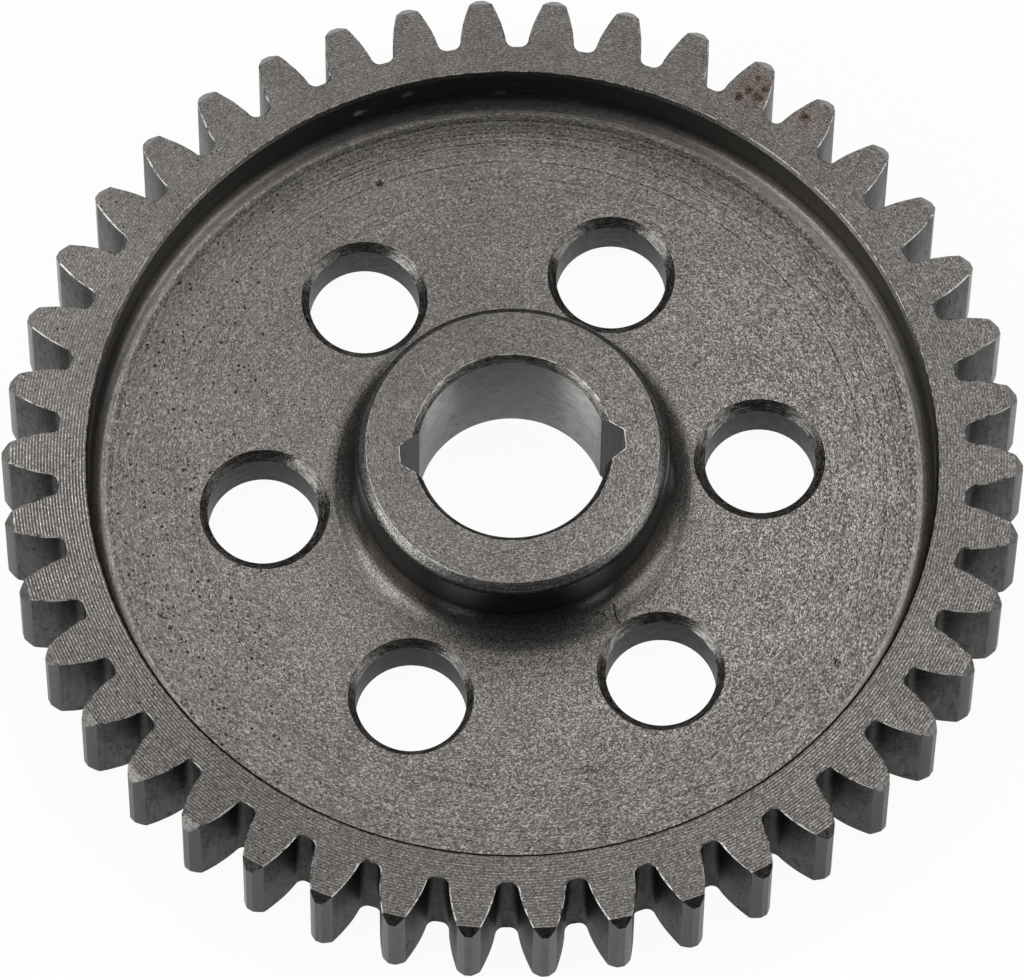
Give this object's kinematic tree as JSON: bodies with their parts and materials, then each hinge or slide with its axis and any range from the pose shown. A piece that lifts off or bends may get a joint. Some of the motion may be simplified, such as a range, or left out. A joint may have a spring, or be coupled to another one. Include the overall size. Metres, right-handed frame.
{
  "type": "spur gear wheel",
  "caption": "Steel spur gear wheel with a recessed web, lightening holes and a raised hub with a keyed bore, for a transmission shaft.",
  "frame": {"origin": "on the bore's axis at the flat back face", "axes": "+Z along the bore towards the hub's end face, +X along the two keyways"},
  "size_m": [0.0878, 0.088, 0.0132],
  "materials": {
    "steel": "dark turned steel, dull, with fine concentric turning marks"
  },
  "bodies": {
    "root": {"gear": "steel"}
  },
  "joints": []
}
